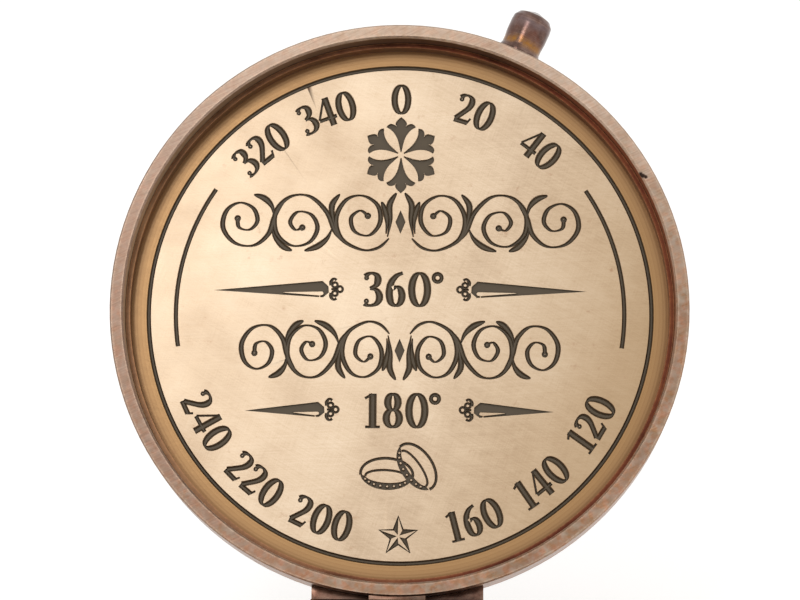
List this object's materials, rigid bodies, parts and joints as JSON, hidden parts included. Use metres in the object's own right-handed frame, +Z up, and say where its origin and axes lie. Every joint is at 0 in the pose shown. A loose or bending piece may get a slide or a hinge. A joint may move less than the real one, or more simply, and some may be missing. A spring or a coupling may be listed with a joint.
{
  "type": "pocket compass",
  "caption": "Round brass pocket compass with a hinged lid standing open, an engraved plate inside the lid, and a glazed dial with a needle that the closing lid lifts.",
  "frame": {"origin": "centre of the flat underside of the base", "axes": "+Z up, +Y towards the hinge and the open lid, +X to the right as seen from the front"},
  "size_m": [0.075, 0.1167, 0.0874],
  "materials": {
    "antique_brass": "satin antique brass, turned and hand rubbed, with a pinkish brown patina",
    "engraved_brass": "pale brushed brass with dark filled engraving",
    "copper_brass": "dark copper-red patina, turned",
    "dark_bronze": "dark bronze patina, semi-gloss",
    "turned_brass": "turned brass",
    "dial_brass": "satin brass with filled graduations",
    "dark_brass_screw": "dark brass, slotted",
    "spring_bronze": "rolled phosphor bronze",
    "steel": "plain turned steel",
    "blued_steel": "heat-blued steel",
    "dial_enamel": "cream enamel",
    "clear_glass": "clear polished glass",
    "gasket_rubber": "matte black rubber",
    "ruby": "polished synthetic ruby"
  },
  "bodies": {
    "base": {"base_case": "antique_brass", "dial_plate": "dial_enamel", "chapter_ring": "dial_brass", "dial_screws": "dark_brass_screw", "pivot_post": "turned_brass", "pivot_point": "steel", "fulcrum_bracket": "turned_brass", "bracket_screws": "steel", "fulcrum_pin": "steel", "return_spring": "spring_bronze", "spring_screw": "steel", "glass_retainer": "turned_brass", "compass_glass": "clear_glass", "glass_gasket": "gasket_rubber", "bezel": "antique_brass", "base_hinge_leaf": "dark_bronze", "base_hinge_screws": "dark_brass_screw", "hinge_pin": "steel"},
    "lid": {"lid_shell": "antique_brass", "lid_plate": "engraved_brass", "plate_ring": "copper_brass", "lid_knob": "dark_bronze", "lid_hinge_leaf": "dark_bronze", "lid_hinge_screws": "dark_brass_screw"},
    "lifter_pin": {"lifter_pin": "turned_brass"},
    "lifter_lever": {"lifter_lever": "turned_brass"},
    "lift_collar": {"lift_collar": "turned_brass"},
    "needle": {"needle": "blued_steel", "needle_cap": "turned_brass", "cap_jewel": "ruby", "needle_balance": "turned_brass"}
  },
  "joints": [
    {"name": "lid_hinge", "type": "hinge", "parent": "base", "child": "lid", "pos_m": [0, 0.0399, 0.016], "axis": [1, 0, 0], "range_deg": [0, 115]},
    {"name": "lifter_pin_press", "type": "slide", "parent": "base", "child": "lifter_pin", "axis": [0, 0, -1], "range_m": [0, 0.0005], "stiffness_N_per_m": 100},
    {"name": "lever_tilt", "type": "hinge", "parent": "base", "child": "lifter_lever", "pos_m": [0.022, 0, 0.0051], "axis": [0, 1, 0], "range_deg": [0, 2], "deforming": ["return_spring"]},
    {"name": "needle_lift", "type": "slide", "parent": "base", "child": "lift_collar", "axis": [0, 0, 1], "range_m": [0, 0.00077]},
    {"name": "needle_spin", "type": "hinge", "parent": "lift_collar", "child": "needle", "pos_m": [0, 0, 0.0109], "axis": [0, 0, 1], "continuous": true}
  ],
  "couplings": [
    {"joint": "lifter_pin_press", "follows": "lid_hinge", "m_per_rad": 0.000249},
    {"joint": "lever_tilt", "follows": "lid_hinge", "ratio": 0.01729},
    {"joint": "needle_lift", "follows": "lid_hinge", "m_per_rad": 0.0003803}
  ]
}
